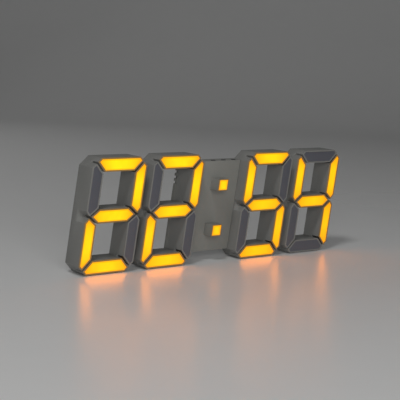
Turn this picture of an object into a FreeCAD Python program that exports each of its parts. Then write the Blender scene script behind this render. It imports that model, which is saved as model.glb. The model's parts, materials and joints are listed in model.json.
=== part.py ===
import FreeCAD, Part
import math
import os

# Four-digit desk clock with solid, leaning seven-segment digits and a colon module between the
# two pairs. Millimetres. X runs along the clock, Y from the lit faces to the back, Z up.
# The origin is the middle of the footprint, on the table.

# Digits
DIGIT_WIDTH = 55.6
DIGIT_HEIGHT = 100.0
DIGIT_DEPTH = 22.4
LEAN_DEG = 7.5            # italic lean of every upright, to the right
CORNER_CHAMFER = 8.0
UPRIGHT_WIDTH = 11.4      # limbs holding segments b, c, e and f
CROSSBAR_HEIGHT = 12.0    # limbs holding segments a, d and g
PAIR_GAP = 7.5            # clear gap between the two digits of a pair
WALL = 1.2

# Slots and side notches that part the segments
SLOT_WIDTH = 1.9
SLOT_DEPTH = 10.0
NOTCH_DEPTH = 14.3
NOTCH_REACH = 4.0         # how far the notch cuts in from the side
NOTCH_HALF_HEIGHT = 5.2

# Diffusers and light wells
DIFFUSER_THICKNESS = 2.0
DIFFUSER_RECESS = 0.3     # face set back from the rim
DIFFUSER_CLEARANCE = 0.05
WELL_LEDGE = 0.6          # step each diffuser sits on

# Light boards and lamps
BOARD_THICKNESS = 1.2
BOARD_CLEARANCE = 0.25
WIRING_SPACE = 1.6        # between a light board and its cover
LED_LENGTH = 3.5
LED_WIDTH = 2.8
LED_HEIGHT = 1.4
LEDS_PER_SEGMENT = 3
LED_SPACING = 9.0

# Back covers
COVER_THICKNESS = 1.6
COVER_GAP = 0.15
SLEEVE_RADIUS = 2.1
FRAME_BOSS_RADIUS = 2.6
FRAME_SCREW_RISE = 26.0   # screw rows above and below mid height

# Colon module
MODULE_GAP = 52.4         # clear gap between the two pairs
MODULE_FIT = 0.2
MODULE_DEPTH = 15.2       # panel face to module back
MODULE_END_INSET = 8.0    # module shorter than the digits at top and bottom
MODULE_OVERHANG = 4.8     # module back behind the digit backs
MODULE_WALL = 1.6
COLON_WIDTH = 11.0
COLON_HEIGHT = 10.6
COLON_RISE = 21.0
COLON_RIM = 0.8

# Main board
MAIN_BOARD_THICKNESS = 1.6
MAIN_BOARD_SIDE_GAP = 0.8  # board to the module's side walls
MAIN_BOARD_END_GAP = 3.4
MAIN_BOARD_STEP = 0.2      # main board's back in front of the light boards' backs
POST_RADIUS = 2.4
POST_SIDE_INSET = 3.4      # board screws from the board's sides
POST_END_INSET = 8.5       # board screws from its top and bottom

# Keys on top of the module
KEY_WIDTH = 3.8
KEY_DEPTH = 2.4
KEY_RISE = 0.6            # key top above the module, more than its travel
KEY_PITCH = 12.1
KEY_FIRST = -4.0          # first key, from the middle of the module top
KEY_CLEARANCE = 0.3
KEY_TRAVEL = 0.5
KEY_FLANGE = 0.9
KEY_FLANGE_THICKNESS = 0.8
KEY_STEM_LENGTH = 1.6
SWITCH_WIDTH = 4.4
SWITCH_HEIGHT = 3.6
SWITCH_DEPTH = 3.5
PLUNGER_RADIUS = 0.9
PLUNGER_RISE = 0.5

# Clock battery and its turning cap
CELL_RADIUS = 10.0
CELL_HEIGHT = 3.2
CELL_RISE = -17.0         # battery centre from mid height
CELL_OFFSET = -9.0
HOLDER_WALL = 0.8
HOLDER_FLOOR = 1.0
CAP_MARGIN = 2.4          # cap's edge beyond the cell's
CAP_THICKNESS = 1.3
CAP_CLEARANCE = 0.3
CAP_SKIRT = 1.0
CAP_TAB_REACH = 1.6
CAP_TAB_ANGLE = 30.0
CAP_TAB_THICKNESS = 0.7
CAP_TURN = 60.0           # from shut to the cover's key ways
COIN_SLOT_LENGTH = 14.0
COIN_SLOT_WIDTH = 1.8
COIN_SLOT_DEPTH = 0.6

# Power inlet
INLET_WIDTH = 8.9
INLET_HEIGHT = 3.2
INLET_CORNER = 1.5
INLET_SHELL = 0.3
INLET_DEPTH = 5.0
INLET_CLEARANCE = 0.3
INLET_RISE = -33.0
INLET_OFFSET = 16.0
TONGUE_WIDTH = 6.6
TONGUE_THICKNESS = 0.7

# Vents
FLANK_VENT_COUNT = 4
FLANK_VENT_HEIGHT = 2.2
FLANK_VENT_PITCH = 4.8
FLANK_VENT_FIRST = 20.9
FLANK_VENT_SKIN = 0.6     # wall left in front of the vents
BACK_VENT_COUNT = 7
BACK_VENT_LENGTH = 18.0
BACK_VENT_WIDTH = 1.6
BACK_VENT_PITCH = 3.6
BACK_VENT_RISE = 22.0
SOUND_HOLE_RADIUS = 0.8
SOUND_HOLE_RING = 3.0
SOUND_HOLE_COUNT = 6

# Electronics on the main board
BUZZER_RADIUS = 6.0
BUZZER_HEIGHT = 4.2
BUZZER_OFFSET = 13.0
BUZZER_RISE = -14.0
MICRO_SIDE = 7.0
MICRO_HEIGHT = 1.2
MICRO_OFFSET = 12.0
MICRO_RISE = 6.0
DRIVER_WIDTH = 15.4
DRIVER_HEIGHT = 7.5
DRIVER_THICKNESS = 2.2
DRIVER_OFFSET = -9.0
DRIVER_RISE = 7.0
RTC_WIDTH = 4.9
RTC_HEIGHT = 3.9
RTC_THICKNESS = 1.5
RTC_OFFSET = -16.0
RTC_RISE = 20.0
CRYSTAL_RADIUS = 1.0
CRYSTAL_LENGTH = 6.0
CRYSTAL_OFFSET = -9.0
REGULATOR_SIDE = 6.5
REGULATOR_HEIGHT = 3.5
REGULATOR_THICKNESS = 1.7
REGULATOR_OFFSET = 16.0
REGULATOR_RISE = -24.5
CAPACITOR_RADIUS = 2.0
CAPACITOR_HEIGHT = 4.6
CAPACITOR_OFFSET = 4.0
CAPACITOR_RISE = -33.0
CAPACITOR_PITCH = 5.2
CAPACITOR_COUNT = 2
RESISTOR_LENGTH = 2.0
RESISTOR_WIDTH = 1.25
RESISTOR_HEIGHT = 0.6
RESISTOR_COUNT = 8
RESISTOR_PITCH = 2.2
RESISTOR_RISE = 21.0
SENSOR_RADIUS = 1.2
SENSOR_HEIGHT = 2.6
SENSOR_OFFSET = -12.0
SENSOR_RISE = 31.0

# Wiring
RIBBON_WIDTH = 6.0
RIBBON_THICKNESS = 0.9
RIBBON_RISE = 12.0
RIBBON_CLEARANCE = 0.3    # beside the ribbon where it passes a wall
RIBBON_REACH = 4.2        # length lying behind each light board
RIBBON_LIFT = 0.35        # gap between ribbon and light board
SOLDER_END = 1.6
PLUG_WIDTH = 4.0
PLUG_HEIGHT = 9.0
PLUG_THICKNESS = 3.0

# Link bars joining the digits of a pair
LINK_THICKNESS = 1.6
LINK_END_MARGIN = 6.0     # bar's end beyond its screws
LINK_OVERLAP = 9.0        # how far the bar lies on each digit back
LINK_FIT = 0.15
DUCT_HEIGHT = 12.0
DUCT_DEPTH = 4.6
DUCT_WALL = 1.2

# Screws
COVER_SCREW_RADIUS = 1.0
COVER_SCREW_LENGTH = 8.0
COVER_HEAD_RADIUS = 1.9
COVER_HEAD_DEPTH = 1.0
FRAME_SCREW_RADIUS = 1.25
FRAME_SCREW_LENGTH = 4.4
FRAME_HEAD_RADIUS = 2.3
FRAME_HEAD_HEIGHT = 1.2
BOARD_SCREW_LENGTH = 4.2
BOARD_HEAD_RADIUS = 1.9
BOARD_HEAD_HEIGHT = 1.1
DRIVE_WIDTH = 0.5         # cross recess in every head
DRIVE_LENGTH = 2.0
DRIVE_DEPTH = 0.6
THREAD_FIT = 0.02
SCREW_CLEARANCE = 0.15
PILOT_MARGIN = 0.6        # pilot hole past the screw's tip
BOARD_PILOT_MARGIN = 0.3
SCREW_EDGE = 0.9          # plastic left beside the middle cover screws

# Feet
FOOT_WIDTH = 7.0
FOOT_CORNER = 3.0
FOOT_HEIGHT = 0.8
FOOT_SIDE_GAP = 3.3        # pad to the start of the digit's corner
FOOT_EDGE_GAP = 2.7        # pad to the digit's face and back

# Which segments are lit on each digit, left to right
LIT_SEGMENTS = ["abged", "abged", "afgcd", "fgbc"]

# Derived positions, measured back from the digit faces
LEAN = math.tan(math.radians(LEAN_DEG))
MID_HEIGHT = FOOT_HEIGHT + DIGIT_HEIGHT / 2
HALF_WIDTH = DIGIT_WIDTH / 2
HALF_HEIGHT = DIGIT_HEIGHT / 2
WINDOW_HALF = HALF_WIDTH - UPRIGHT_WIDTH
WINDOW_TOP = HALF_HEIGHT - CROSSBAR_HEIGHT
WINDOW_BOTTOM = CROSSBAR_HEIGHT / 2
CLOCK_DEPTH = DIGIT_DEPTH + MODULE_OVERHANG
INNER_DIGIT = MODULE_GAP / 2 + HALF_WIDTH
OUTER_DIGIT = INNER_DIGIT + DIGIT_WIDTH + PAIR_GAP
DIGIT_CENTRES = [-OUTER_DIGIT, -INNER_DIGIT, INNER_DIGIT, OUTER_DIGIT]
PAIR_CENTRE = (INNER_DIGIT + OUTER_DIGIT) / 2
COVER_FRONT = DIGIT_DEPTH - COVER_THICKNESS
BOARD_BACK = COVER_FRONT - WIRING_SPACE
BOARD_FRONT = BOARD_BACK - BOARD_THICKNESS
DIFFUSER_BACK = DIFFUSER_RECESS + DIFFUSER_THICKNESS
MODULE_HALF = MODULE_GAP / 2 - MODULE_FIT
MODULE_TOP = HALF_HEIGHT - MODULE_END_INSET
FLANGE_HALF = MODULE_GAP / 2 + UPRIGHT_WIDTH
MODULE_FRONT = CLOCK_DEPTH - MODULE_DEPTH
PANEL_BACK = MODULE_FRONT + MODULE_WALL
FLANGE_BACK = DIGIT_DEPTH + MODULE_WALL
LINK_BACK = DIGIT_DEPTH + LINK_THICKNESS
MODULE_COVER_FRONT = CLOCK_DEPTH - MODULE_WALL
MAIN_BACK = BOARD_BACK - MAIN_BOARD_STEP
MAIN_FRONT = MAIN_BACK - MAIN_BOARD_THICKNESS
MAIN_BOARD_WIDTH = 2 * (MODULE_HALF - MODULE_WALL - MAIN_BOARD_SIDE_GAP)
MAIN_BOARD_HEIGHT = 2 * (MODULE_TOP - MODULE_WALL - MAIN_BOARD_END_GAP)
CAP_RADIUS = CELL_RADIUS + CAP_MARGIN
LINK_HEIGHT = 2 * (FRAME_SCREW_RISE + LINK_END_MARGIN)
FOOT_SPREAD = HALF_WIDTH - CORNER_CHAMFER - FOOT_SIDE_GAP - FOOT_WIDTH / 2
FOOT_LENGTH = DIGIT_DEPTH - 2 * FOOT_EDGE_GAP
FRAME_SCREW_OFFSET = HALF_WIDTH - WALL - FRAME_BOSS_RADIUS
RIBBON_FRONT = BOARD_BACK + RIBBON_LIFT
RIBBON_BACK = RIBBON_FRONT + RIBBON_THICKNESS
OVERCUT = 1.0             # how far cutting tools run past a face


def world(u, v, centre, y):
    """Point at u across and v up from a leaning part's centre, y behind the digit faces."""
    return FreeCAD.Vector(centre + u + v * LEAN, y - CLOCK_DEPTH / 2, v + MID_HEIGHT)


def prism(points, centre, front, back):
    """Leaning outline carried straight back from front to back."""
    corners = [world(u, v, centre, front) for u, v in points]
    face = Part.Face(Part.makePolygon(corners + corners[:1]))
    return face.extrude(FreeCAD.Vector(0, back - front, 0))


def rect(u0, u1, v0, v1):
    return [(u0, v0), (u1, v0), (u1, v1), (u0, v1)]


def centred(u, v, width, height):
    return rect(u - width / 2, u + width / 2, v - height / 2, v + height / 2)


def block(u, v, centre, front, back, width, height):
    """Upright box with square corners, centred on a leaning position."""
    corner = world(u, v, centre, front) - FreeCAD.Vector(width / 2, 0, height / 2)
    return Part.makeBox(width, back - front, height, corner)


def rod(u, v, centre, front, back, radius):
    return Part.makeCylinder(radius, back - front, world(u, v, centre, front), FreeCAD.Vector(0, 1, 0))


def cone(u, v, centre, front, back, front_radius, back_radius):
    start = world(u, v, centre, front)
    return Part.makeCone(front_radius, back_radius, back - front, start, FreeCAD.Vector(0, 1, 0))


def clip(points, anchor, normal):
    """Part of a convex outline on the side of a line its normal points away from."""
    kept = []
    for (u0, v0), (u1, v1) in zip(points, points[1:] + points[:1]):
        d0 = (u0 - anchor[0]) * normal[0] + (v0 - anchor[1]) * normal[1]
        d1 = (u1 - anchor[0]) * normal[0] + (v1 - anchor[1]) * normal[1]
        if d0 <= 0:
            kept.append((u0, v0))
        if d0 * d1 < 0:
            t = d0 / (d0 - d1)
            kept.append((u0 + (u1 - u0) * t, v0 + (v1 - v0) * t))
    return kept


def inset(points, distance):
    """Convex outline moved in by a distance on every edge."""
    middle_u = sum(u for u, v in points) / len(points)
    middle_v = sum(v for u, v in points) / len(points)
    shrunk = points
    for (u0, v0), (u1, v1) in zip(points, points[1:] + points[:1]):
        length = math.hypot(u1 - u0, v1 - v0)
        normal = ((v1 - v0) / length, (u0 - u1) / length)
        if (middle_u - u0) * normal[0] + (middle_v - v0) * normal[1] > 0:
            normal = (-normal[0], -normal[1])
        anchor = (u0 - normal[0] * distance, v0 - normal[1] * distance)
        shrunk = clip(shrunk, anchor, normal)
    return shrunk


def mirrored(points, flip_u, flip_v):
    return [(u * flip_u, v * flip_v) for u, v in points]


def offset_line(start, end, distance):
    """Anchor and unit normal of a line shifted sideways, the normal pointing to its left."""
    length = math.hypot(end[0] - start[0], end[1] - start[1])
    normal = ((start[1] - end[1]) / length, (end[0] - start[0]) / length)
    return (start[0] + normal[0] * distance, start[1] + normal[1] * distance), normal


def strip(start, end, width):
    """Long thin outline of the given width, run past both of its ends."""
    length = math.hypot(end[0] - start[0], end[1] - start[1])
    along = ((end[0] - start[0]) / length, (end[1] - start[1]) / length)
    side = (-along[1] * width / 2, along[0] * width / 2)
    a = (start[0] - along[0] * OVERCUT, start[1] - along[1] * OVERCUT)
    b = (end[0] + along[0] * OVERCUT, end[1] + along[1] * OVERCUT)
    return [(a[0] + side[0], a[1] + side[1]), (b[0] + side[0], b[1] + side[1]),
            (b[0] - side[0], b[1] - side[1]), (a[0] - side[0], a[1] - side[1])]


def fused(shapes):
    return shapes[0].multiFuse(shapes[1:]).removeSplitter()


def save(name, shape):
    shape.exportStep("parts/" + name + ".step")


# Digit outline, in its own upright plane before the lean
OUTLINE = [(-HALF_WIDTH, CORNER_CHAMFER - HALF_HEIGHT), (CORNER_CHAMFER - HALF_WIDTH, -HALF_HEIGHT),
           (HALF_WIDTH - CORNER_CHAMFER, -HALF_HEIGHT), (HALF_WIDTH, CORNER_CHAMFER - HALF_HEIGHT),
           (HALF_WIDTH, HALF_HEIGHT - CORNER_CHAMFER), (HALF_WIDTH - CORNER_CHAMFER, HALF_HEIGHT),
           (CORNER_CHAMFER - HALF_WIDTH, HALF_HEIGHT), (-HALF_WIDTH, HALF_HEIGHT - CORNER_CHAMFER)]
CHAMFER_MIDDLE = (HALF_WIDTH - CORNER_CHAMFER / 2, HALF_HEIGHT - CORNER_CHAMFER / 2)
WINDOW_CORNER = (WINDOW_HALF, WINDOW_TOP)
NOTCH_TIP = (HALF_WIDTH - NOTCH_REACH, 0.0)
BAR_CORNER = (WINDOW_HALF, WINDOW_BOTTOM)
QUARTERS = [(1, 1), (-1, 1), (1, -1), (-1, -1)]
CORNER_SCREW = ((CHAMFER_MIDDLE[0] + WINDOW_CORNER[0]) / 2, (CHAMFER_MIDDLE[1] + WINDOW_CORNER[1]) / 2)
MIDDLE_SCREW = (HALF_WIDTH - NOTCH_REACH - COVER_SCREW_RADIUS - SCREW_EDGE, 0.0)
COVER_SCREWS = [(CORNER_SCREW[0] * su, CORNER_SCREW[1] * sv) for su, sv in QUARTERS]
COVER_SCREWS += [(MIDDLE_SCREW[0] * su, 0.0) for su in (1, -1)]
FRAME_SCREWS = [(FRAME_SCREW_OFFSET * su, FRAME_SCREW_RISE * sv) for su, sv in QUARTERS]


def segment_outlines():
    """Outline of each segment, rim included, keyed by its letter."""
    half_slot = SLOT_WIDTH / 2
    corner_low, corner_up = offset_line(WINDOW_CORNER, CHAMFER_MIDDLE, half_slot)
    corner_high, corner_down = offset_line(CHAMFER_MIDDLE, WINDOW_CORNER, half_slot)
    bar_edge, bar_normal = offset_line(NOTCH_TIP, BAR_CORNER, half_slot)
    joint_edge, joint_normal = offset_line(BAR_CORNER, NOTCH_TIP, half_slot)
    notch_side, notch_normal = offset_line((HALF_WIDTH, NOTCH_HALF_HEIGHT), NOTCH_TIP, 0.0)

    top = clip(OUTLINE, (0.0, WINDOW_TOP), (0.0, -1.0))
    for flip in (1, -1):
        top = clip(mirrored(top, flip, 1), corner_low, (-corner_up[0], -corner_up[1]))
        top = mirrored(top, flip, 1)

    right = clip(OUTLINE, (WINDOW_HALF, 0.0), (-1.0, 0.0))
    right = clip(right, corner_high, (-corner_down[0], -corner_down[1]))
    right = clip(right, joint_edge, (-joint_normal[0], -joint_normal[1]))
    right = clip(right, notch_side, notch_normal)

    bar = rect(-HALF_WIDTH, HALF_WIDTH, -WINDOW_BOTTOM, WINDOW_BOTTOM)
    for su, sv in QUARTERS:
        bar = clip(mirrored(bar, su, sv), bar_edge, (-bar_normal[0], -bar_normal[1]))
        bar = mirrored(bar, su, sv)

    return {"a": top, "d": mirrored(top, 1, -1), "g": bar,
            "b": right, "c": mirrored(right, 1, -1),
            "f": mirrored(right, -1, 1), "e": mirrored(right, -1, -1)}


SEGMENTS = segment_outlines()


def windows(margin):
    return [rect(-WINDOW_HALF - margin, WINDOW_HALF + margin, WINDOW_BOTTOM - margin, WINDOW_TOP + margin),
            rect(-WINDOW_HALF - margin, WINDOW_HALF + margin, -WINDOW_TOP - margin, margin - WINDOW_BOTTOM)]


def eight(centre, margin, front, back):
    """Solid figure eight, its outline and both windows drawn in by a margin."""
    plate = prism(inset(OUTLINE, margin), centre, front, back)
    return plate.cut([prism(w, centre, front - OVERCUT, back + OVERCUT) for w in windows(margin)])


def cable_port(centre, side, front, back):
    """Hole through a digit's side wall for the ribbon."""
    edge = side * HALF_WIDTH
    reach = WALL + OVERCUT
    half = RIBBON_WIDTH / 2 + RIBBON_CLEARANCE
    outline = rect(edge - reach, edge + reach, RIBBON_RISE - half, RIBBON_RISE + half)
    return prism(outline, centre, front, back)


def digit_housing(centre, joined_sides):
    body = eight(centre, 0.0, 0.0, DIGIT_DEPTH)
    cuts = []
    for su, sv in QUARTERS:
        corner = mirrored(strip(WINDOW_CORNER, CHAMFER_MIDDLE, SLOT_WIDTH), su, sv)
        joint = mirrored(strip(BAR_CORNER, NOTCH_TIP, SLOT_WIDTH), su, sv)
        cuts.append(prism(corner, centre, -OVERCUT, SLOT_DEPTH))
        cuts.append(prism(joint, centre, -OVERCUT, SLOT_DEPTH))
    mouth = NOTCH_HALF_HEIGHT * (NOTCH_REACH + OVERCUT) / NOTCH_REACH
    for su in (1, -1):
        notch = [NOTCH_TIP, (HALF_WIDTH + OVERCUT, mouth), (HALF_WIDTH + OVERCUT, -mouth)]
        cuts.append(prism(mirrored(notch, su, 1), centre, -OVERCUT, NOTCH_DEPTH))
    for outline in SEGMENTS.values():
        cuts.append(prism(inset(outline, WALL), centre, -OVERCUT, DIFFUSER_BACK))
        cuts.append(prism(inset(outline, WALL + WELL_LEDGE), centre, 0.0, BOARD_FRONT + OVERCUT))
    cuts.append(eight(centre, WALL, BOARD_FRONT, DIGIT_DEPTH + OVERCUT))
    pilot_end = DIGIT_DEPTH - COVER_SCREW_LENGTH - PILOT_MARGIN
    for u, v in COVER_SCREWS:
        cuts.append(rod(u, v, centre, pilot_end, BOARD_FRONT + OVERCUT, COVER_SCREW_RADIUS + THREAD_FIT))
    for side in joined_sides:
        cuts.append(cable_port(centre, side, RIBBON_FRONT - RIBBON_CLEARANCE, RIBBON_BACK + RIBBON_CLEARANCE))
    return body.cut(cuts)


def diffusers(centre, letters):
    shrink = WALL + DIFFUSER_CLEARANCE
    plates = [prism(inset(SEGMENTS[s], shrink), centre, DIFFUSER_RECESS, DIFFUSER_BACK) for s in letters]
    return Part.makeCompound(plates)


def light_board(centre):
    board = eight(centre, WALL + BOARD_CLEARANCE, BOARD_FRONT, BOARD_BACK)
    bore = COVER_SCREW_RADIUS + SCREW_CLEARANCE
    holes = [rod(u, v, centre, BOARD_FRONT - OVERCUT, BOARD_BACK + OVERCUT, bore) for u, v in COVER_SCREWS]
    return board.cut(holes)


def lamps(centre):
    """Rows of surface-mounted lamps, one row behind each segment."""
    front = BOARD_FRONT - LED_HEIGHT
    rows = []
    for letter, outline in SEGMENTS.items():
        middle_u = (min(u for u, v in outline) + max(u for u, v in outline)) / 2
        middle_v = (min(v for u, v in outline) + max(v for u, v in outline)) / 2
        level = letter in "adg"
        for i in range(LEDS_PER_SEGMENT):
            step = (i - (LEDS_PER_SEGMENT - 1) / 2) * LED_SPACING
            u, v = (middle_u + step, middle_v) if level else (middle_u, middle_v + step)
            width, height = (LED_LENGTH, LED_WIDTH) if level else (LED_WIDTH, LED_LENGTH)
            rows.append(block(u, v, centre, front, BOARD_FRONT, width, height))
    return Part.makeCompound(rows)


def digit_cover(centre, joined_sides):
    """Back plate with sleeves that clamp the light board, and frame screw bosses on its joined sides."""
    bolted = [(u, v) for u, v in FRAME_SCREWS if math.copysign(1, u) in joined_sides]
    plate = eight(centre, WALL + COVER_GAP, COVER_FRONT, DIGIT_DEPTH)
    sleeves = [rod(u, v, centre, BOARD_BACK, COVER_FRONT, SLEEVE_RADIUS) for u, v in COVER_SCREWS]
    bosses = [rod(u, v, centre, BOARD_BACK + COVER_GAP, COVER_FRONT, FRAME_BOSS_RADIUS - COVER_GAP)
              for u, v in bolted]
    plate = fused([plate] + sleeves + bosses)
    cuts = []
    for u, v in COVER_SCREWS:
        bore = COVER_SCREW_RADIUS + SCREW_CLEARANCE
        cuts.append(rod(u, v, centre, BOARD_BACK - OVERCUT, DIGIT_DEPTH + OVERCUT, bore))
        cuts.append(cone(u, v, centre, DIGIT_DEPTH - COVER_HEAD_DEPTH, DIGIT_DEPTH, bore,
                         COVER_HEAD_RADIUS + SCREW_CLEARANCE))
    for u, v in bolted:
        cuts.append(rod(u, v, centre, BOARD_BACK, DIGIT_DEPTH + OVERCUT, FRAME_SCREW_RADIUS + THREAD_FIT))
    return plate.cut(cuts)


def cross_recess(u, v, centre, back):
    front = back - DRIVE_DEPTH
    return [block(u, v, centre, front, back + OVERCUT, DRIVE_LENGTH, DRIVE_WIDTH),
            block(u, v, centre, front, back + OVERCUT, DRIVE_WIDTH, DRIVE_LENGTH)]


def flat_head_screw(u, v, centre, back):
    shank = rod(u, v, centre, back - COVER_SCREW_LENGTH, back, COVER_SCREW_RADIUS)
    head = cone(u, v, centre, back - COVER_HEAD_DEPTH, back, COVER_SCREW_RADIUS, COVER_HEAD_RADIUS)
    return fused([shank, head]).cut(cross_recess(u, v, centre, back))


def pan_head_screw(u, v, centre, seat, radius, length, head_radius, head_height):
    shank = rod(u, v, centre, seat - length, seat, radius)
    head = rod(u, v, centre, seat, seat + head_height, head_radius)
    return fused([shank, head]).cut(cross_recess(u, v, centre, seat + head_height))


def link_bar(centre):
    """Bar across a pair's backs, with a duct in the gap that hides the ribbon."""
    half = PAIR_GAP / 2
    plate = prism(rect(-half - LINK_OVERLAP, half + LINK_OVERLAP, -LINK_HEIGHT / 2, LINK_HEIGHT / 2),
                  centre, DIGIT_DEPTH, LINK_BACK)
    low = RIBBON_RISE - DUCT_HEIGHT / 2
    high = RIBBON_RISE + DUCT_HEIGHT / 2
    duct = prism(rect(LINK_FIT - half, half - LINK_FIT, low, high), centre,
                 DIGIT_DEPTH - DUCT_DEPTH, DIGIT_DEPTH)
    bore = prism(rect(-half, half, low + DUCT_WALL, high - DUCT_WALL), centre,
                 DIGIT_DEPTH - DUCT_DEPTH + DUCT_WALL, DIGIT_DEPTH)
    holes = []
    for side in (1, -1):
        u = side * (half + HALF_WIDTH - FRAME_SCREW_OFFSET)
        for sv in (1, -1):
            holes.append(rod(u, sv * FRAME_SCREW_RISE, centre, DIGIT_DEPTH - OVERCUT,
                             LINK_BACK + OVERCUT, FRAME_SCREW_RADIUS + SCREW_CLEARANCE))
    return fused([plate, duct.cut(bore)]).cut(holes)


def module_screw_points():
    u = FLANGE_HALF - UPRIGHT_WIDTH + HALF_WIDTH - FRAME_SCREW_OFFSET
    return [(su * u, sv * FRAME_SCREW_RISE) for su, sv in QUARTERS]


COVER_POST_U = MODULE_HALF - MODULE_WALL / 2 - POST_RADIUS
COVER_POST_V = MODULE_TOP - MODULE_WALL - COVER_GAP - COVER_HEAD_RADIUS - WALL
COVER_POST_FRONT = MAIN_FRONT + KEY_CLEARANCE
MODULE_COVER_POINTS = [(su * COVER_POST_U, sv * COVER_POST_V) for su, sv in QUARTERS]
BOARD_POINTS = [(su * (MAIN_BOARD_WIDTH / 2 - POST_SIDE_INSET), sv * (MAIN_BOARD_HEIGHT / 2 - POST_END_INSET))
                for su, sv in QUARTERS]
KEY_POINTS = [KEY_FIRST + i * KEY_PITCH for i in range(3)]
KEY_MIDDLE = MAIN_FRONT - SWITCH_DEPTH / 2


def key_box(u, low, high, width, depth):
    """Box on a key's axis between two heights measured from the module top."""
    corner = world(u, MODULE_TOP, 0.0, KEY_MIDDLE) + FreeCAD.Vector(-width / 2, -depth / 2, low)
    return Part.makeBox(width, depth, high - low, corner)


def colon_outline(sign, margin):
    return centred(0.0, sign * COLON_RISE, COLON_WIDTH - 2 * margin, COLON_HEIGHT - 2 * margin)


def module_housing():
    body = prism(rect(-MODULE_HALF, MODULE_HALF, -MODULE_TOP, MODULE_TOP), 0.0, MODULE_FRONT, CLOCK_DEPTH)
    flange = prism(rect(-FLANGE_HALF, FLANGE_HALF, -MODULE_TOP, MODULE_TOP), 0.0, DIGIT_DEPTH, CLOCK_DEPTH)
    tubes = [prism(colon_outline(s, 0.0), 0.0, 0.0, PANEL_BACK) for s in (1, -1)]
    body = fused([body, flange] + tubes)
    inner = MODULE_HALF - MODULE_WALL
    inner_top = MODULE_TOP - MODULE_WALL
    cavity = prism(rect(-inner, inner, -inner_top, inner_top), 0.0, PANEL_BACK, CLOCK_DEPTH + OVERCUT)
    wing = FLANGE_HALF - MODULE_WALL
    tray = prism(rect(-wing, wing, -inner_top, inner_top), 0.0, FLANGE_BACK, CLOCK_DEPTH + OVERCUT)
    body = body.cut([cavity, tray])

    posts = [rod(u, v, 0.0, PANEL_BACK - WELL_LEDGE, MAIN_FRONT, POST_RADIUS) for u, v in BOARD_POINTS]
    posts += [rod(u, v, 0.0, COVER_POST_FRONT, MODULE_COVER_FRONT, POST_RADIUS)
              for u, v in MODULE_COVER_POINTS]
    body = fused([body] + posts)

    cuts = []
    for s in (1, -1):
        cuts.append(prism(colon_outline(s, COLON_RIM), 0.0, -OVERCUT, DIFFUSER_BACK))
        cuts.append(prism(colon_outline(s, COLON_RIM + WELL_LEDGE), 0.0, 0.0, PANEL_BACK + OVERCUT))
    for u in KEY_POINTS:
        cuts.append(key_box(u, -MODULE_WALL - OVERCUT, OVERCUT, KEY_WIDTH + 2 * KEY_CLEARANCE,
                            KEY_DEPTH + 2 * KEY_CLEARANCE))
    for u, v in BOARD_POINTS:
        end = MAIN_BACK - BOARD_SCREW_LENGTH - BOARD_PILOT_MARGIN
        cuts.append(rod(u, v, 0.0, end, MAIN_FRONT + OVERCUT, COVER_SCREW_RADIUS + THREAD_FIT))
    for u, v in MODULE_COVER_POINTS:
        end = CLOCK_DEPTH - COVER_SCREW_LENGTH - PILOT_MARGIN
        cuts.append(rod(u, v, 0.0, end, CLOCK_DEPTH, COVER_SCREW_RADIUS + THREAD_FIT))
    for u, v in module_screw_points():
        cuts.append(rod(u, v, 0.0, DIGIT_DEPTH - OVERCUT, FLANGE_BACK + OVERCUT,
                        FRAME_SCREW_RADIUS + SCREW_CLEARANCE))
    half = RIBBON_WIDTH / 2 + RIBBON_CLEARANCE
    for side in (1, -1):
        edge = side * MODULE_HALF
        reach = MODULE_WALL + OVERCUT
        port = rect(edge - reach, edge + reach, RIBBON_RISE - half, RIBBON_RISE + half)
        cuts.append(prism(port, 0.0, RIBBON_FRONT - RIBBON_CLEARANCE, RIBBON_BACK + RIBBON_CLEARANCE))
        for i in range(FLANK_VENT_COUNT):
            low = FLANK_VENT_FIRST + i * FLANK_VENT_PITCH
            outer = side * FLANGE_HALF
            vent = rect(outer - reach, outer + reach, low, low + FLANK_VENT_HEIGHT)
            cuts.append(prism(vent, 0.0, DIGIT_DEPTH + FLANK_VENT_SKIN, CLOCK_DEPTH + OVERCUT))
    return body.cut(cuts)


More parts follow.
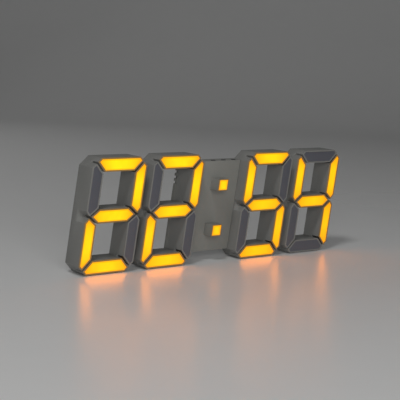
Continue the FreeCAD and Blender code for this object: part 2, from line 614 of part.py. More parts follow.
def module_cover():
    wing = FLANGE_HALF - MODULE_WALL - COVER_GAP
    top = MODULE_TOP - MODULE_WALL - COVER_GAP
    plate = prism(rect(-wing, wing, -top, top), 0.0, MODULE_COVER_FRONT, CLOCK_DEPTH)
    cuts = []
    for u, v in MODULE_COVER_POINTS:
        bore = COVER_SCREW_RADIUS + SCREW_CLEARANCE
        cuts.append(rod(u, v, 0.0, MODULE_COVER_FRONT - OVERCUT, CLOCK_DEPTH + OVERCUT, bore))
        cuts.append(cone(u, v, 0.0, CLOCK_DEPTH - COVER_HEAD_DEPTH, CLOCK_DEPTH, bore,
                         COVER_HEAD_RADIUS + SCREW_CLEARANCE))
    mouth = CAP_RADIUS + CAP_CLEARANCE
    cuts.append(rod(CELL_OFFSET, CELL_RISE, 0.0, MODULE_COVER_FRONT - OVERCUT, CLOCK_DEPTH + OVERCUT, mouth))
    for turn in (CAP_TURN, CAP_TURN + 180.0):
        cuts.append(cap_tab(MODULE_COVER_FRONT - OVERCUT, CLOCK_DEPTH + OVERCUT, turn, CAP_CLEARANCE))
    for i in range(BACK_VENT_COUNT):
        v = BACK_VENT_RISE + (i - (BACK_VENT_COUNT - 1) / 2) * BACK_VENT_PITCH
        for side in (1, -1):
            outline = centred(side * FLANGE_HALF / 2, v, BACK_VENT_LENGTH, BACK_VENT_WIDTH)
            cuts.append(prism(outline, 0.0, MODULE_COVER_FRONT - OVERCUT, CLOCK_DEPTH + OVERCUT))
    for i in range(SOUND_HOLE_COUNT):
        angle = math.radians(360.0 * i / SOUND_HOLE_COUNT)
        u = BUZZER_OFFSET + SOUND_HOLE_RING * math.cos(angle)
        v = BUZZER_RISE + SOUND_HOLE_RING * math.sin(angle)
        cuts.append(rod(u, v, 0.0, MODULE_COVER_FRONT - OVERCUT, CLOCK_DEPTH + OVERCUT, SOUND_HOLE_RADIUS))
    cuts.append(inlet_solid(MODULE_COVER_FRONT - OVERCUT, CLOCK_DEPTH + OVERCUT, INLET_CLEARANCE))
    return plate.cut(cuts)


def inlet_solid(front, back, margin):
    """Round-ended block of the power inlet's section, grown by a margin."""
    width = INLET_WIDTH + 2 * margin
    height = INLET_HEIGHT + 2 * margin
    solid = block(INLET_OFFSET, INLET_RISE, 0.0, front, back, width, height)
    edges = [e for e in solid.Edges if e.BoundBox.YLength > (back - front) / 2]
    return solid.makeFillet(INLET_CORNER + margin, edges)


def cap_tab(front, back, turn, margin):
    """Bayonet tab of the battery cap, turned about the cap's axis."""
    axis = world(CELL_OFFSET, CELL_RISE, 0.0, front)
    reach = CAP_RADIUS + CAP_TAB_REACH + margin
    spread = CAP_TAB_ANGLE + 2 * math.degrees(margin / reach)
    wedge = Part.makeCylinder(reach, back - front, axis, FreeCAD.Vector(0, 1, 0), spread)
    wedge.rotate(axis, FreeCAD.Vector(0, 1, 0), turn - spread / 2)
    return wedge


def battery_cap():
    """Round cap flush with the module back, held by two tabs behind the cover."""
    back = CLOCK_DEPTH - CAP_CLEARANCE / 2
    tab_back = MODULE_COVER_FRONT - CAP_CLEARANCE
    tab_front = tab_back - CAP_TAB_THICKNESS
    disc = rod(CELL_OFFSET, CELL_RISE, 0.0, back - CAP_THICKNESS, back, CAP_RADIUS)
    skirt = rod(CELL_OFFSET, CELL_RISE, 0.0, tab_front, back - CAP_THICKNESS, CAP_RADIUS)
    tabs = [cap_tab(tab_front, tab_back, turn, 0.0) for turn in (0.0, 180.0)]
    bore = rod(CELL_OFFSET, CELL_RISE, 0.0, tab_front - OVERCUT, back - CAP_THICKNESS, CAP_RADIUS - CAP_SKIRT)
    slot = block(CELL_OFFSET, CELL_RISE, 0.0, back - COIN_SLOT_DEPTH, back + OVERCUT, COIN_SLOT_LENGTH,
                 COIN_SLOT_WIDTH)
    return fused([disc, skirt] + tabs).cut([bore, slot])


def coin_cell():
    front = MAIN_BACK + HOLDER_FLOOR
    return rod(CELL_OFFSET, CELL_RISE, 0.0, front, front + CELL_HEIGHT, CELL_RADIUS)


def cell_holder():
    """Moulded cup with a spring contact that grips the cell's rim."""
    grip = CELL_RADIUS + DIFFUSER_CLEARANCE
    cup = rod(CELL_OFFSET, CELL_RISE, 0.0, MAIN_BACK, MAIN_BACK + HOLDER_FLOOR + CELL_HEIGHT / 2,
              grip + HOLDER_WALL)
    well = rod(CELL_OFFSET, CELL_RISE, 0.0, MAIN_BACK + HOLDER_FLOOR, MAIN_BACK + 2 * CELL_HEIGHT, grip)
    pry_gap = block(CELL_OFFSET, CELL_RISE + grip, 0.0, MAIN_BACK + HOLDER_FLOOR, MAIN_BACK + 2 * CELL_HEIGHT,
                    CELL_RADIUS, 2 * CELL_HEIGHT)
    return cup.cut([well, pry_gap])


def power_inlet():
    """Upright inlet on the main board, its mouth level with the module back."""
    back = CLOCK_DEPTH - INLET_SHELL
    shell = inlet_solid(MAIN_BACK, back, 0.0)
    mouth = inlet_solid(back - INLET_DEPTH, back + OVERCUT, -INLET_SHELL)
    tongue = block(INLET_OFFSET, INLET_RISE, 0.0, MAIN_BACK, back - INLET_SHELL,
                   TONGUE_WIDTH, TONGUE_THICKNESS)
    return fused([shell.cut(mouth), tongue])


def main_board():
    """Board with screw holes and corners cut back round the cover posts."""
    board = prism(centred(0.0, 0.0, MAIN_BOARD_WIDTH, MAIN_BOARD_HEIGHT), 0.0, MAIN_FRONT, MAIN_BACK)
    holes = [rod(u, v, 0.0, MAIN_FRONT - OVERCUT, MAIN_BACK + OVERCUT, COVER_SCREW_RADIUS + SCREW_CLEARANCE)
             for u, v in BOARD_POINTS]
    notches = [rod(u, v, 0.0, MAIN_FRONT - OVERCUT, MAIN_BACK + OVERCUT, POST_RADIUS + BOARD_CLEARANCE)
               for u, v in MODULE_COVER_POINTS]
    return board.cut(holes + notches)


def colon_lamps():
    return Part.makeCompound([block(0.0, s * COLON_RISE, 0.0, MAIN_FRONT - LED_HEIGHT, MAIN_FRONT, LED_LENGTH,
                                    LED_WIDTH) for s in (1, -1)])


def colon_diffusers():
    shrink = COLON_RIM + DIFFUSER_CLEARANCE
    return Part.makeCompound([prism(colon_outline(s, shrink), 0.0, DIFFUSER_RECESS, DIFFUSER_BACK)
                              for s in (1, -1)])


FLANGE_LOW = -MODULE_WALL - KEY_CLEARANCE - KEY_FLANGE_THICKNESS
STEM_LOW = FLANGE_LOW - KEY_STEM_LENGTH
PLUNGER_TOP = STEM_LOW - KEY_TRAVEL - KEY_CLEARANCE


def key(u):
    """Push key: cap through the module top, flange that stops it lifting out, stem to the switch."""
    cap = key_box(u, FLANGE_LOW, KEY_RISE, KEY_WIDTH, KEY_DEPTH)
    crown = [e for e in cap.Edges if e.CenterOfMass.z > cap.BoundBox.ZMax - KEY_CLEARANCE]
    cap = cap.makeChamfer(KEY_CLEARANCE, crown)
    flange = key_box(u, FLANGE_LOW, FLANGE_LOW + KEY_FLANGE_THICKNESS, KEY_WIDTH + 2 * KEY_FLANGE, KEY_DEPTH)
    stem = key_box(u, STEM_LOW, FLANGE_LOW, KEY_WIDTH / 2, KEY_DEPTH / 2)
    return fused([cap, flange, stem])


def key_switches():
    """Side-push switches on the front of the main board, one under each key."""
    switches = []
    body_top = PLUNGER_TOP - PLUNGER_RISE
    for u in KEY_POINTS:
        corner = world(u, MODULE_TOP, 0.0, MAIN_FRONT - SWITCH_DEPTH)
        corner = corner + FreeCAD.Vector(-SWITCH_WIDTH / 2, 0, body_top - SWITCH_HEIGHT)
        body = Part.makeBox(SWITCH_WIDTH, SWITCH_DEPTH, SWITCH_HEIGHT, corner)
        base = world(u, MODULE_TOP, 0.0, KEY_MIDDLE) + FreeCAD.Vector(0, 0, body_top)
        plunger = Part.makeCylinder(PLUNGER_RADIUS, PLUNGER_RISE, base, FreeCAD.Vector(0, 0, 1))
        switches.append(fused([body, plunger]))
    return Part.makeCompound(switches)


def chip(u, v, width, height, thickness):
    return block(u, v, 0.0, MAIN_BACK, MAIN_BACK + thickness, width, height)


def crystal():
    start = world(CRYSTAL_OFFSET, RTC_RISE, 0.0, MAIN_BACK + CRYSTAL_RADIUS)
    start = start - FreeCAD.Vector(CRYSTAL_LENGTH / 2, 0, 0)
    return Part.makeCylinder(CRYSTAL_RADIUS, CRYSTAL_LENGTH, start, FreeCAD.Vector(1, 0, 0))


def capacitors():
    return Part.makeCompound([rod(CAPACITOR_OFFSET - i * CAPACITOR_PITCH, CAPACITOR_RISE, 0.0, MAIN_BACK,
                                  MAIN_BACK + CAPACITOR_HEIGHT, CAPACITOR_RADIUS)
                              for i in range(CAPACITOR_COUNT)])


def resistors():
    first = MICRO_OFFSET - (RESISTOR_COUNT - 1) * RESISTOR_PITCH / 2
    return Part.makeCompound([chip(first + i * RESISTOR_PITCH, RESISTOR_RISE, RESISTOR_WIDTH, RESISTOR_LENGTH,
                                   RESISTOR_HEIGHT) for i in range(RESISTOR_COUNT)])


def pair_ribbon(centre):
    """Flat cable between the two light boards of a pair, soldered at both ends."""
    half = PAIR_GAP / 2 + WALL + BOARD_CLEARANCE + RIBBON_REACH
    low = RIBBON_RISE - RIBBON_WIDTH / 2
    high = RIBBON_RISE + RIBBON_WIDTH / 2
    run = prism(rect(-half, half, low, high), centre, RIBBON_FRONT, RIBBON_BACK)
    end = rect(half - SOLDER_END, half, low, high)
    ends = [prism(mirrored(end, side, 1), centre, BOARD_BACK, RIBBON_FRONT) for side in (1, -1)]
    return fused([run] + ends)


PLUG_OFFSET = MAIN_BOARD_WIDTH / 2 - PLUG_WIDTH


def module_ribbon(side):
    """Flat cable from the inner digit's light board to its plug on the main board."""
    outer = MODULE_GAP / 2 + WALL + BOARD_CLEARANCE + RIBBON_REACH
    inner = PLUG_OFFSET + PLUG_WIDTH / 2
    low = RIBBON_RISE - RIBBON_WIDTH / 2
    high = RIBBON_RISE + RIBBON_WIDTH / 2
    run = mirrored(rect(inner, outer, low, high), side, 1)
    end = mirrored(rect(outer - SOLDER_END, outer, low, high), side, 1)
    return fused([prism(run, 0.0, RIBBON_FRONT, RIBBON_BACK), prism(end, 0.0, BOARD_BACK, RIBBON_FRONT)])


def plugs():
    outlines = [centred(side * PLUG_OFFSET, RIBBON_RISE, PLUG_WIDTH, PLUG_HEIGHT) for side in (1, -1)]
    return Part.makeCompound([prism(o, 0.0, MAIN_BACK, MAIN_BACK + PLUG_THICKNESS) for o in outlines])


def feet():
    """Round-cornered rubber pads, two under each digit."""
    pads = []
    for centre in DIGIT_CENTRES:
        for side in (1, -1):
            middle = world(side * FOOT_SPREAD, -HALF_HEIGHT, centre, DIGIT_DEPTH / 2)
            corner = middle - FreeCAD.Vector(FOOT_WIDTH / 2, FOOT_LENGTH / 2, FOOT_HEIGHT)
            pad = Part.makeBox(FOOT_WIDTH, FOOT_LENGTH, FOOT_HEIGHT, corner)
            uprights = [e for e in pad.Edges if e.BoundBox.ZLength > FOOT_HEIGHT / 2]
            pads.append(pad.makeFillet(FOOT_CORNER, uprights))
    return Part.makeCompound(pads)


def cover_screws():
    screws = [flat_head_screw(u, v, c, DIGIT_DEPTH) for c in DIGIT_CENTRES for u, v in COVER_SCREWS]
    screws += [flat_head_screw(u, v, 0.0, CLOCK_DEPTH) for u, v in MODULE_COVER_POINTS]
    return Part.makeCompound(screws)


def frame_screws():
    """Screws that hold the link bars and the module flange to the digit backs."""
    reach = PAIR_GAP / 2 + HALF_WIDTH - FRAME_SCREW_OFFSET
    seats = [(su * reach, sv * FRAME_SCREW_RISE, side * PAIR_CENTRE, LINK_BACK)
             for side in (1, -1) for su, sv in QUARTERS]
    seats += [(u, v, 0.0, FLANGE_BACK) for u, v in module_screw_points()]
    screws = [pan_head_screw(u, v, c, seat, FRAME_SCREW_RADIUS, FRAME_SCREW_LENGTH, FRAME_HEAD_RADIUS,
                             FRAME_HEAD_HEIGHT) for u, v, c, seat in seats]
    return Part.makeCompound(screws)


def board_screws():
    return Part.makeCompound([pan_head_screw(u, v, 0.0, MAIN_BACK, COVER_SCREW_RADIUS, BOARD_SCREW_LENGTH,
                                             BOARD_HEAD_RADIUS, BOARD_HEAD_HEIGHT) for u, v in BOARD_POINTS])


os.makedirs("parts", exist_ok=True)

JOINED_SIDES = [(1,), (-1, 1), (-1, 1), (-1,)]
for index, centre in enumerate(DIGIT_CENTRES):
    digit = "digit_" + str(index + 1)
    lit = LIT_SEGMENTS[index]
    unlit = [letter for letter in SEGMENTS if letter not in lit]
    save(digit + "_housing", digit_housing(centre, JOINED_SIDES[index]))
    save(digit + "_diffusers_lit", diffusers(centre, lit))
    save(digit + "_diffusers_unlit", diffusers(centre, unlit))
    save(digit + "_light_board", light_board(centre))
    save(digit + "_lamps", lamps(centre))
    save(digit + "_cover", digit_cover(centre, JOINED_SIDES[index]))

for side, word in ((-1, "left"), (1, "right")):
    save("link_bar_" + word, link_bar(side * PAIR_CENTRE))
    save("pair_ribbon_" + word, pair_ribbon(side * PAIR_CENTRE))
    save("module_ribbon_" + word, module_ribbon(side))

save("module_housing", module_housing())
save("module_cover", module_cover())
save("colon_diffusers", colon_diffusers())
save("colon_lamps", colon_lamps())
save("main_board", main_board())
save("key_mode", key(KEY_POINTS[0]))
save("key_down", key(KEY_POINTS[1]))
save("key_up", key(KEY_POINTS[2]))
save("key_switches", key_switches())
save("microcontroller", chip(MICRO_OFFSET, MICRO_RISE, MICRO_SIDE, MICRO_SIDE, MICRO_HEIGHT))
save("lamp_driver", chip(DRIVER_OFFSET, DRIVER_RISE, DRIVER_WIDTH, DRIVER_HEIGHT, DRIVER_THICKNESS))
save("clock_chip", chip(RTC_OFFSET, RTC_RISE, RTC_WIDTH, RTC_HEIGHT, RTC_THICKNESS))
save("regulator", chip(REGULATOR_OFFSET, REGULATOR_RISE, REGULATOR_SIDE, REGULATOR_HEIGHT,
                       REGULATOR_THICKNESS))
save("crystal", crystal())
save("capacitors", capacitors())
save("resistors", resistors())
save("buzzer", rod(BUZZER_OFFSET, BUZZER_RISE, 0.0, MAIN_BACK, MAIN_BACK + BUZZER_HEIGHT, BUZZER_RADIUS))
save("temperature_sensor", rod(SENSOR_OFFSET, SENSOR_RISE, 0.0, MAIN_BACK, MAIN_BACK + SENSOR_HEIGHT,
                               SENSOR_RADIUS))
save("cell_holder", cell_holder())
save("coin_cell", coin_cell())
save("battery_cap", battery_cap())
save("power_inlet", power_inlet())
save("ribbon_plugs", plugs())
save("cover_screws", cover_screws())
save("frame_screws", frame_screws())
save("board_screws", board_screws())
save("feet", feet())
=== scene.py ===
import json
import math

import bmesh
import bpy
from bpy.props import FloatProperty, FloatVectorProperty, PointerProperty
from mathutils import Matrix, Vector

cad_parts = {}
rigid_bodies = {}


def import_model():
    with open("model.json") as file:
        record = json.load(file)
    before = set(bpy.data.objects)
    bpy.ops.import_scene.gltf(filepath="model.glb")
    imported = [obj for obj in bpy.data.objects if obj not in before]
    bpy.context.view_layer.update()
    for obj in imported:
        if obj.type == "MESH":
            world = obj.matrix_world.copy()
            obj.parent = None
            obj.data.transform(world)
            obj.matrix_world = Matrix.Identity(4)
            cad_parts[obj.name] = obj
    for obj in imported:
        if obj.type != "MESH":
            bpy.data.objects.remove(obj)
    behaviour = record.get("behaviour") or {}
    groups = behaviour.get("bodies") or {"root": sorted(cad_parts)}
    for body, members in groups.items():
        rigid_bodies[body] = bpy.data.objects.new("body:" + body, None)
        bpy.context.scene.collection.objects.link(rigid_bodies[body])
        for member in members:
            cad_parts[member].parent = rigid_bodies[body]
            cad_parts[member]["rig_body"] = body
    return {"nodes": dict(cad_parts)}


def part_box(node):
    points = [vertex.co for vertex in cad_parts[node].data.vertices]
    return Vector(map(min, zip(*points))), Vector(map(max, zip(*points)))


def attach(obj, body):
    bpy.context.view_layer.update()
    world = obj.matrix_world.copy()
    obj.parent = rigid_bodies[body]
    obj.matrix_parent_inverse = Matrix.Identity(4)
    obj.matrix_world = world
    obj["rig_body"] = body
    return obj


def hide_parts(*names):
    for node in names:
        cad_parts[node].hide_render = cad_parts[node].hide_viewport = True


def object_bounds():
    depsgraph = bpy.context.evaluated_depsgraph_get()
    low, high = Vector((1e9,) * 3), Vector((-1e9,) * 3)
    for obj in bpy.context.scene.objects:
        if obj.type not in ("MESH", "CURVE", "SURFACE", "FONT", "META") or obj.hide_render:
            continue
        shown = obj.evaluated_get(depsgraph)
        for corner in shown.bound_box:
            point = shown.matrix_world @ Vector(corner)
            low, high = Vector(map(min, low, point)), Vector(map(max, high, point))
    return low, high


bl_info = {
    "name": "Seven-segment desk clock",
    "version": (1, 0, 0),
    "blender": (4, 5, 0),
    "location": "3D Viewport > Sidebar > Clock",
    "description": "Fine shapes and finishes for a desk clock with solid leaning digits",
    "category": "Object",
}

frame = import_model()
CAD_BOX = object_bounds()
NODES = frame["nodes"]
DIGITS = ("digit_1", "digit_2", "digit_3", "digit_4")
KEYS = ("key_mode", "key_down", "key_up")
COVERS = [d + "_cover" for d in DIGITS] + ["module_cover", "link_bar_left", "link_bar_right", "battery_cap"]

# Shapes. Lengths are in metres.
MERGE_DISTANCE = 1e-6
FLAT_ANGLE = math.radians(0.5)      # triangles flatter to each other than this become one face
ROUND_FROM = math.radians(25.0)     # edges sharper than this get a radius
ROUND_LONGER_THAN = 0.0015          # edges shorter than this stay sharp
SMOOTH_UNDER = math.radians(35.0)   # faces shade smoothly across edges flatter than this
COVER_ROUNDING = 0.5                # share of the cases' edge radius that the covers get
FACING = 0.99                       # how squarely a diffuser's front face looks forward, at least
FADE_RINGS = 3                      # insets that carry a diffuser's dimmer edge and its crown
SWEEP_STEPS = 24                    # flats in the bend behind the table

# Painted glow: an amber tint and faint emission on the cases, standing in for light through their walls,
# marked on their corners
LEAK = "leak"                       # 0 for none to 1 for the most
LEAK_STEPS = (0.0006, 0.0014, 0.003)    # depths of the edge loops that carry its fall
LEAK_DEPTH = 0.0006                 # depth at which it has fallen to about a third
WALL_WIDTH = 0.0013                 # it is at its most up to this far from a lit diffuser
LEAK_REACH = 0.0024                 # and gone at this distance
PAINTED_GLOW_TINT = "#8C7646"               # painted amber glow that the wall's grey turns to in it

# Glow of the diffusers, marked on their corners
GLOW = "glow"                       # 0 at the edge to 1 inside, place along from -1 to 1, brightness
TIP_POWER = 2.0                     # how late along a segment its glow falls off
LAMP_PATCH = 0.009                  # lamps stand this far apart behind a diffuser
LAMP_BAND = (0.3, 0.7)              # where the noise that stands for them mostly lies
LAMP_CLOUD = 0.12                   # how uneven they make a diffuser
LIT_BODY = "#6E4C00"                # what a lit diffuser reflects, under its glow
LIT_ROUGHNESS = 0.42
LIT_SPECULAR = 0.35

# Surfaces. Real grains are mostly under 0.2 mm, and are drawn coarser here so that they show.
BROAD_PATCH = 40.0                  # broad mottling, in grain sizes
TONE_BAND = (0.7, 1.3)              # where two noises added together mostly lie
BROAD_BAND = (0.35, 0.65)           # where one broad noise mostly lies
GRAIN_BUMP = 0.00003                # depth of a moulding's grain
METAL_BUMP = 0.000005
OPAL_GRAIN = 0.0012
OPAL_BUMP = 0.00001
OPAL_MOTTLING = 0.04
OPAL_ROUGHNESS = (0.32, 0.42)
KEY_ROUGHNESS = (0.4, 0.5)
LAMINATE_PATCH = 0.03               # a laminate's faint clouds are centimetres across
LAMINATE_MOTTLING = 0.008
LAMINATE_ROUGHNESS = (0.27, 0.31)
ABS_IOR = 1.54
POLYCARBONATE_IOR = 1.58
LAMINATE_IOR = 1.5

# Softboxes: the name, the setting that holds its power, the side of its square, where it stands, and
# whether it shines in glossy surfaces. One that doesn't leaves no white patch on the table.
SOFTBOXES = (
    ("key_softbox", "key_power", 0.3, (-0.65, -0.4, 1.3), True),
    ("fill_softbox", "fill_power", 1.2, (-0.85, -1.55, 0.35), False),
    ("back_softbox", "back_power", 0.8, (-0.3, 1.4, 0.7), False),
)
AIM_POINT = Vector((0.0, 0.0, 0.05))    # the middle of the clock, which every softbox faces
SURROUNDINGS = "#E6E8EA"

# Finishes of parts whose CAD shape is already right: their nodes, the material's name, its colour, the
# size of its grain, its roughness from and to, and how metallic it is.
FITTING_FINISHES = (
    # Zinc-plated steel, tumbled: dull silver heads with an uneven sheen
    (["cover_screws", "frame_screws", "board_screws"], "zinc_plated_steel",
     "#B9BABC", 0.0004, (0.25, 0.4), 1.0),
    # Nickel-plated steel, drawn: a warm, brighter shell round the inlet's mouth
    (["power_inlet"], "nickel_plated_steel", "#CBC6BC", 0.0008, (0.2, 0.3), 1.0),
    # Rubber, moulded: matt, nearly black pads
    (["feet"], "moulded_rubber", "#1E1E1E", 0.0005, (0.75, 0.9), 0.0),
)
INSIDE_FINISHES = (
    # Solder mask, white and screened: a satin board that throws the lamps' light forward
    ([d + "_light_board" for d in DIGITS], "white_solder_mask", "#E4E4E0", 0.002, (0.35, 0.45), 0.0),
    # Silicone over the lamps, cast: glossy pale yellow
    ([d + "_lamps" for d in DIGITS] + ["colon_lamps"], "cast_yellow_silicone",
     "#F0DC78", 0.001, (0.2, 0.3), 0.0),
    # Solder mask, green and screened: a satin board
    (["main_board"], "green_solder_mask", "#1E5A38", 0.002, (0.3, 0.4), 0.0),
    # PVC, extruded over flat wires: pale grey with a soft sheen
    (["pair_ribbon_left", "pair_ribbon_right", "module_ribbon_left", "module_ribbon_right"], "extruded_pvc",
     "#B8B8B8", 0.0013, (0.5, 0.6), 0.0),
    # Nylon, moulded and undyed: creamy white plugs
    (["ribbon_plugs"], "natural_nylon", "#E2DECE", 0.0008, (0.4, 0.5), 0.0),
    # Nylon, moulded and dyed: satin black
    (["key_switches", "buzzer", "cell_holder"], "black_nylon", "#1A1A1A", 0.0008, (0.45, 0.6), 0.0),
    # Epoxy, moulded: chips of a matt charcoal
    (["microcontroller", "lamp_driver", "clock_chip", "regulator", "temperature_sensor"], "moulded_epoxy",
     "#242426", 0.0006, (0.55, 0.7), 0.0),
    # Alumina under black glass, fired: small glossy resistors
    (["resistors"], "glazed_ceramic", "#20201E", 0.0006, (0.2, 0.3), 0.0),
    # Aluminium, drawn: bright, slightly blue cans
    (["capacitors"], "drawn_aluminium", "#C8C9CB", 0.0006, (0.25, 0.35), 1.0),
    # Stainless steel, rolled and pressed: the battery's clean grey can
    (["coin_cell"], "rolled_stainless_steel", "#C2C3C4", 0.0009, (0.25, 0.35), 1.0),
    # Nickel silver, drawn: the crystal's small bright can
    (["crystal"], "drawn_nickel_silver", "#C6C4BC", 0.0005, (0.2, 0.3), 1.0),
)


def linear(code):
    """Linear RGBA of an sRGB hex colour, by the curve of the sRGB standard."""
    channels = [int(code[i:i + 2], 16) / 255 for i in (1, 3, 5)]
    return [c / 12.92 if c <= 0.04045 else ((c + 0.055) / 1.055) ** 2.4 for c in channels] + [1.0]


class ShellSettings(bpy.types.PropertyGroup):
    """Moulded cases of the digits and the colon module, and the keys."""
    colour: FloatVectorProperty(
        name="Colour", description="Colour of the digits' cases and of every cover",
        default=linear("#7E7E7B"), subtype="COLOR", size=4, min=0.0, max=1.0)
    module_colour: FloatVectorProperty(
        name="Module colour", description="Colour of the colon module's case",
        default=linear("#84847F"), subtype="COLOR", size=4, min=0.0, max=1.0)
    key_colour: FloatVectorProperty(
        name="Key colour", description="Colour of the three keys",
        default=linear("#3E3E40"), subtype="COLOR", size=4, min=0.0, max=1.0)
    edge_radius: FloatProperty(
        name="Edge radius", description="Radius on the outer edges of the cases",
        default=0.00035, min=0.0, unit="LENGTH", subtype="DISTANCE")
    grain: FloatProperty(
        name="Grain", description="Size at which the grain of the mouldings is drawn",
        default=0.0006, min=0.0001, unit="LENGTH", subtype="DISTANCE")


class LightSettings(bpy.types.PropertyGroup):
    """Lit and unlit segments."""
    middle: FloatVectorProperty(
        name="Middle colour", description="Colour along the middle of a lit segment",
        default=linear("#FFEC0C"), subtype="COLOR", size=4, min=0.0, max=1.0)
    edge: FloatVectorProperty(
        name="Edge colour", description="Deeper colour where a lit segment is dimmest",
        default=linear("#FF9A08"), subtype="COLOR", size=4, min=0.0, max=1.0)
    throw: FloatVectorProperty(
        name="Thrown colour", description="Colour of the light the segments throw",
        default=linear("#FF8E0D"), subtype="COLOR", size=4, min=0.0, max=1.0)
    unlit: FloatVectorProperty(
        name="Unlit colour", description="Colour of an unlit segment",
        default=linear("#585960"), subtype="COLOR", size=4, min=0.0, max=1.0)
    throw_strength: FloatProperty(
        name="Thrown light", description="Brightness of the light the segments throw",
        default=3.0, min=0.0)
    border: FloatProperty(
        name="Border", description="Share of the glow left at a segment's edge",
        default=0.35, min=0.0, max=1.0, subtype="FACTOR")
    tip: FloatProperty(
        name="Tips", description="Share of the glow lost at a segment's tips",
        default=0.85, min=0.0, max=1.0, subtype="FACTOR")
    across: FloatProperty(
        name="Across", description="Share of the glow lost from the first digit to the last",
        default=0.35, min=0.0, max=1.0, subtype="FACTOR")
    down: FloatProperty(
        name="Down", description="Share of the glow lost from the top to the bottom",
        default=0.3, min=0.0, max=1.0, subtype="FACTOR")
    # Strength of the painted glow that the cases emit round a lit segment
    rim: FloatProperty(
        name="Rim", description="Brightness of the rim round a lit segment",
        default=0.05, min=0.0)
    crown: FloatProperty(
        name="Crown", description="Rise of a diffuser's middle over its edge",
        default=0.0002, min=0.0, unit="LENGTH", subtype="DISTANCE")
    fade: FloatProperty(
        name="Fade", description="Width of the dimmer band inside a segment's edge",
        default=0.0018, min=0.0001, unit="LENGTH", subtype="DISTANCE")


class StageSettings(bpy.types.PropertyGroup):
    """Table, lights and camera."""
    floor_colour: FloatVectorProperty(
        name="Floor colour", description="Colour of the table",
        default=linear("#E4E4E3"), subtype="COLOR", size=4, min=0.0, max=1.0)
    floor_width: FloatProperty(
        name="Floor width", description="Width of the table top and the sweep behind it",
        default=12.0, min=1.0, unit="LENGTH", subtype="DISTANCE")
    floor_depth: FloatProperty(
        name="Floor depth", description="From the clock to the foot of the sweep",
        default=1.5, min=1.0, unit="LENGTH", subtype="DISTANCE")
    sweep_radius: FloatProperty(
        name="Sweep radius", description="Radius of the bend up from the floor",
        default=0.9, min=0.1, unit="LENGTH", subtype="DISTANCE")
    key_power: FloatProperty(
        name="Key light", description="Power of the soft light above",
        default=5.5, min=0.0, unit="POWER")
    fill_power: FloatProperty(
        name="Fill light", description="Power of the broad light in front",
        default=20.0, min=0.0, unit="POWER")
    back_power: FloatProperty(
        name="Back light", description="Power of the weak light behind",
        default=2.5, min=0.0, unit="POWER")
    world_strength: FloatProperty(
        name="Surroundings", description="Brightness of the pale surroundings",
        default=0.05, min=0.0)
    lens: FloatProperty(
        name="Lens", description="Focal length of the camera",
        default=98.3, min=1.0, unit="CAMERA")
    camera_place: FloatVectorProperty(
        name="Camera", description="Where the camera stands",
        default=(-0.6289, -0.7847, 0.2030), size=3, unit="LENGTH", subtype="TRANSLATION")
    yaw: FloatProperty(
        name="Yaw", description="Turn of the view from the depth axis to the right",
        default=math.radians(38.11), unit="ROTATION", subtype="ANGLE")
    pitch: FloatProperty(
        name="Pitch", description="Tilt of the view above the horizon",
        default=math.radians(-8.34), unit="ROTATION", subtype="ANGLE")
    roll: FloatProperty(
        name="Roll", description="Turn of the picture about the view",
        default=math.radians(2.66), unit="ROTATION", subtype="ANGLE")


# Materials

def add(tree, kind, inputs=None, **settings):
    """Adds a node. inputs holds a value, or the output socket to link, for each socket's name or number."""
    made = tree.nodes.new(kind)
    for name, value in settings.items():
        setattr(made, name, value)
    for key, value in (inputs or {}).items():
        if isinstance(value, bpy.types.NodeSocket):
            tree.links.new(value, made.inputs[key])
        else:
            made.inputs[key].default_value = value
    return made


def surface(name, inputs):
    """New material with one Principled shader. Returns the material, its node tree and the shader."""
    material = bpy.data.materials.new(name)
    material.use_nodes = True
    tree = material.node_tree
    tree.nodes.clear()
    shader = add(tree, "ShaderNodeBsdfPrincipled", inputs)
    add(tree, "ShaderNodeOutputMaterial", {"Surface": shader.outputs["BSDF"]})
    return material, tree, shader


def noise(tree, place, size, detail=3.0):
    """Noise whose features are about size metres across."""
    made = add(tree, "ShaderNodeTexNoise", {"Vector": place, "Scale": 1.0 / size, "Detail": detail})
    return made.outputs["Fac"]


def textured(name, colour, size, spread=0.05, roughness=(0.45, 0.6), bump=GRAIN_BUMP, **inputs):
    """Material with a fine grain of the given size: mottled colour, uneven roughness and a shallow bump."""
    material, tree, shader = surface(name, inputs)
    place = add(tree, "ShaderNodeTexCoord").outputs["Object"]
    fine = noise(tree, place, size)
    broad = noise(tree, place, size * BROAD_PATCH)
    tone = add(tree, "ShaderNodeMath", {0: fine, 1: broad}, operation="ADD").outputs[0]
    tone = add(tree, "ShaderNodeMapRange", {
        "Value": tone, "From Min": TONE_BAND[0], "From Max": TONE_BAND[1],
        "To Min": 1.0 - spread, "To Max": 1.0 + spread}).outputs["Result"]
    tinted = add(tree, "ShaderNodeVectorMath", {0: tuple(colour[:3]), "Scale": tone}, operation="SCALE")
    tree.links.new(tinted.outputs["Vector"], shader.inputs["Base Color"])
    gloss = add(tree, "ShaderNodeMapRange", {
        "Value": broad, "From Min": BROAD_BAND[0], "From Max": BROAD_BAND[1],
        "To Min": roughness[0], "To Max": roughness[1]}).outputs["Result"]
    tree.links.new(gloss, shader.inputs["Roughness"])
    relief = add(tree, "ShaderNodeBump", {"Height": fine, "Distance": bump, "Strength": 1.0})
    tree.links.new(relief.outputs["Normal"], shader.inputs["Normal"])
    return material, tree, shader


